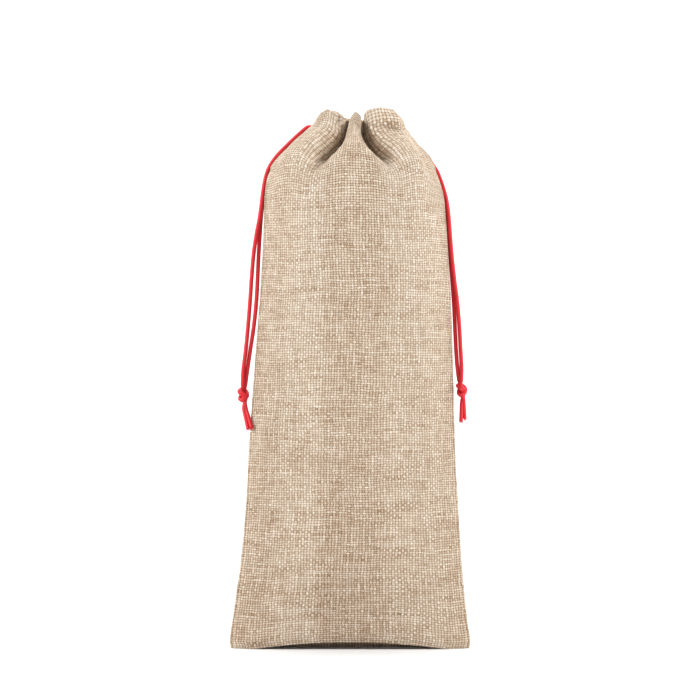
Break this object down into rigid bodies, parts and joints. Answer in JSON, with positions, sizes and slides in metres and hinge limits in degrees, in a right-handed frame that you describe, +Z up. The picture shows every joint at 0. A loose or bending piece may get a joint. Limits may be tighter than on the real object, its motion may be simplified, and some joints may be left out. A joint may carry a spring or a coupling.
{
  "type": "burlap drawstring bottle sack",
  "caption": "Tall narrow burlap sack, standing, its gathered neck drawn shut by a red braided cord hanging knotted at each side.",
  "frame": {"origin": "on the floor, in the middle of the foot", "axes": "+Z up towards the gathered neck, +X towards the right side seam as seen from the front, -Y towards the front"},
  "size_m": [0.15, 0.0846, 0.3358],
  "materials": {
    "burlap": "plain weave of natural jute-like yarn, matt",
    "red_braid": "fine braided cord, softly glossy"
  },
  "bodies": {
    "root": {"sack": "burlap", "left_strand_front": "red_braid", "left_strand_back": "red_braid", "left_knot": "red_braid", "right_strand_front": "red_braid", "right_strand_back": "red_braid", "right_knot": "red_braid"}
  },
  "joints": []
}
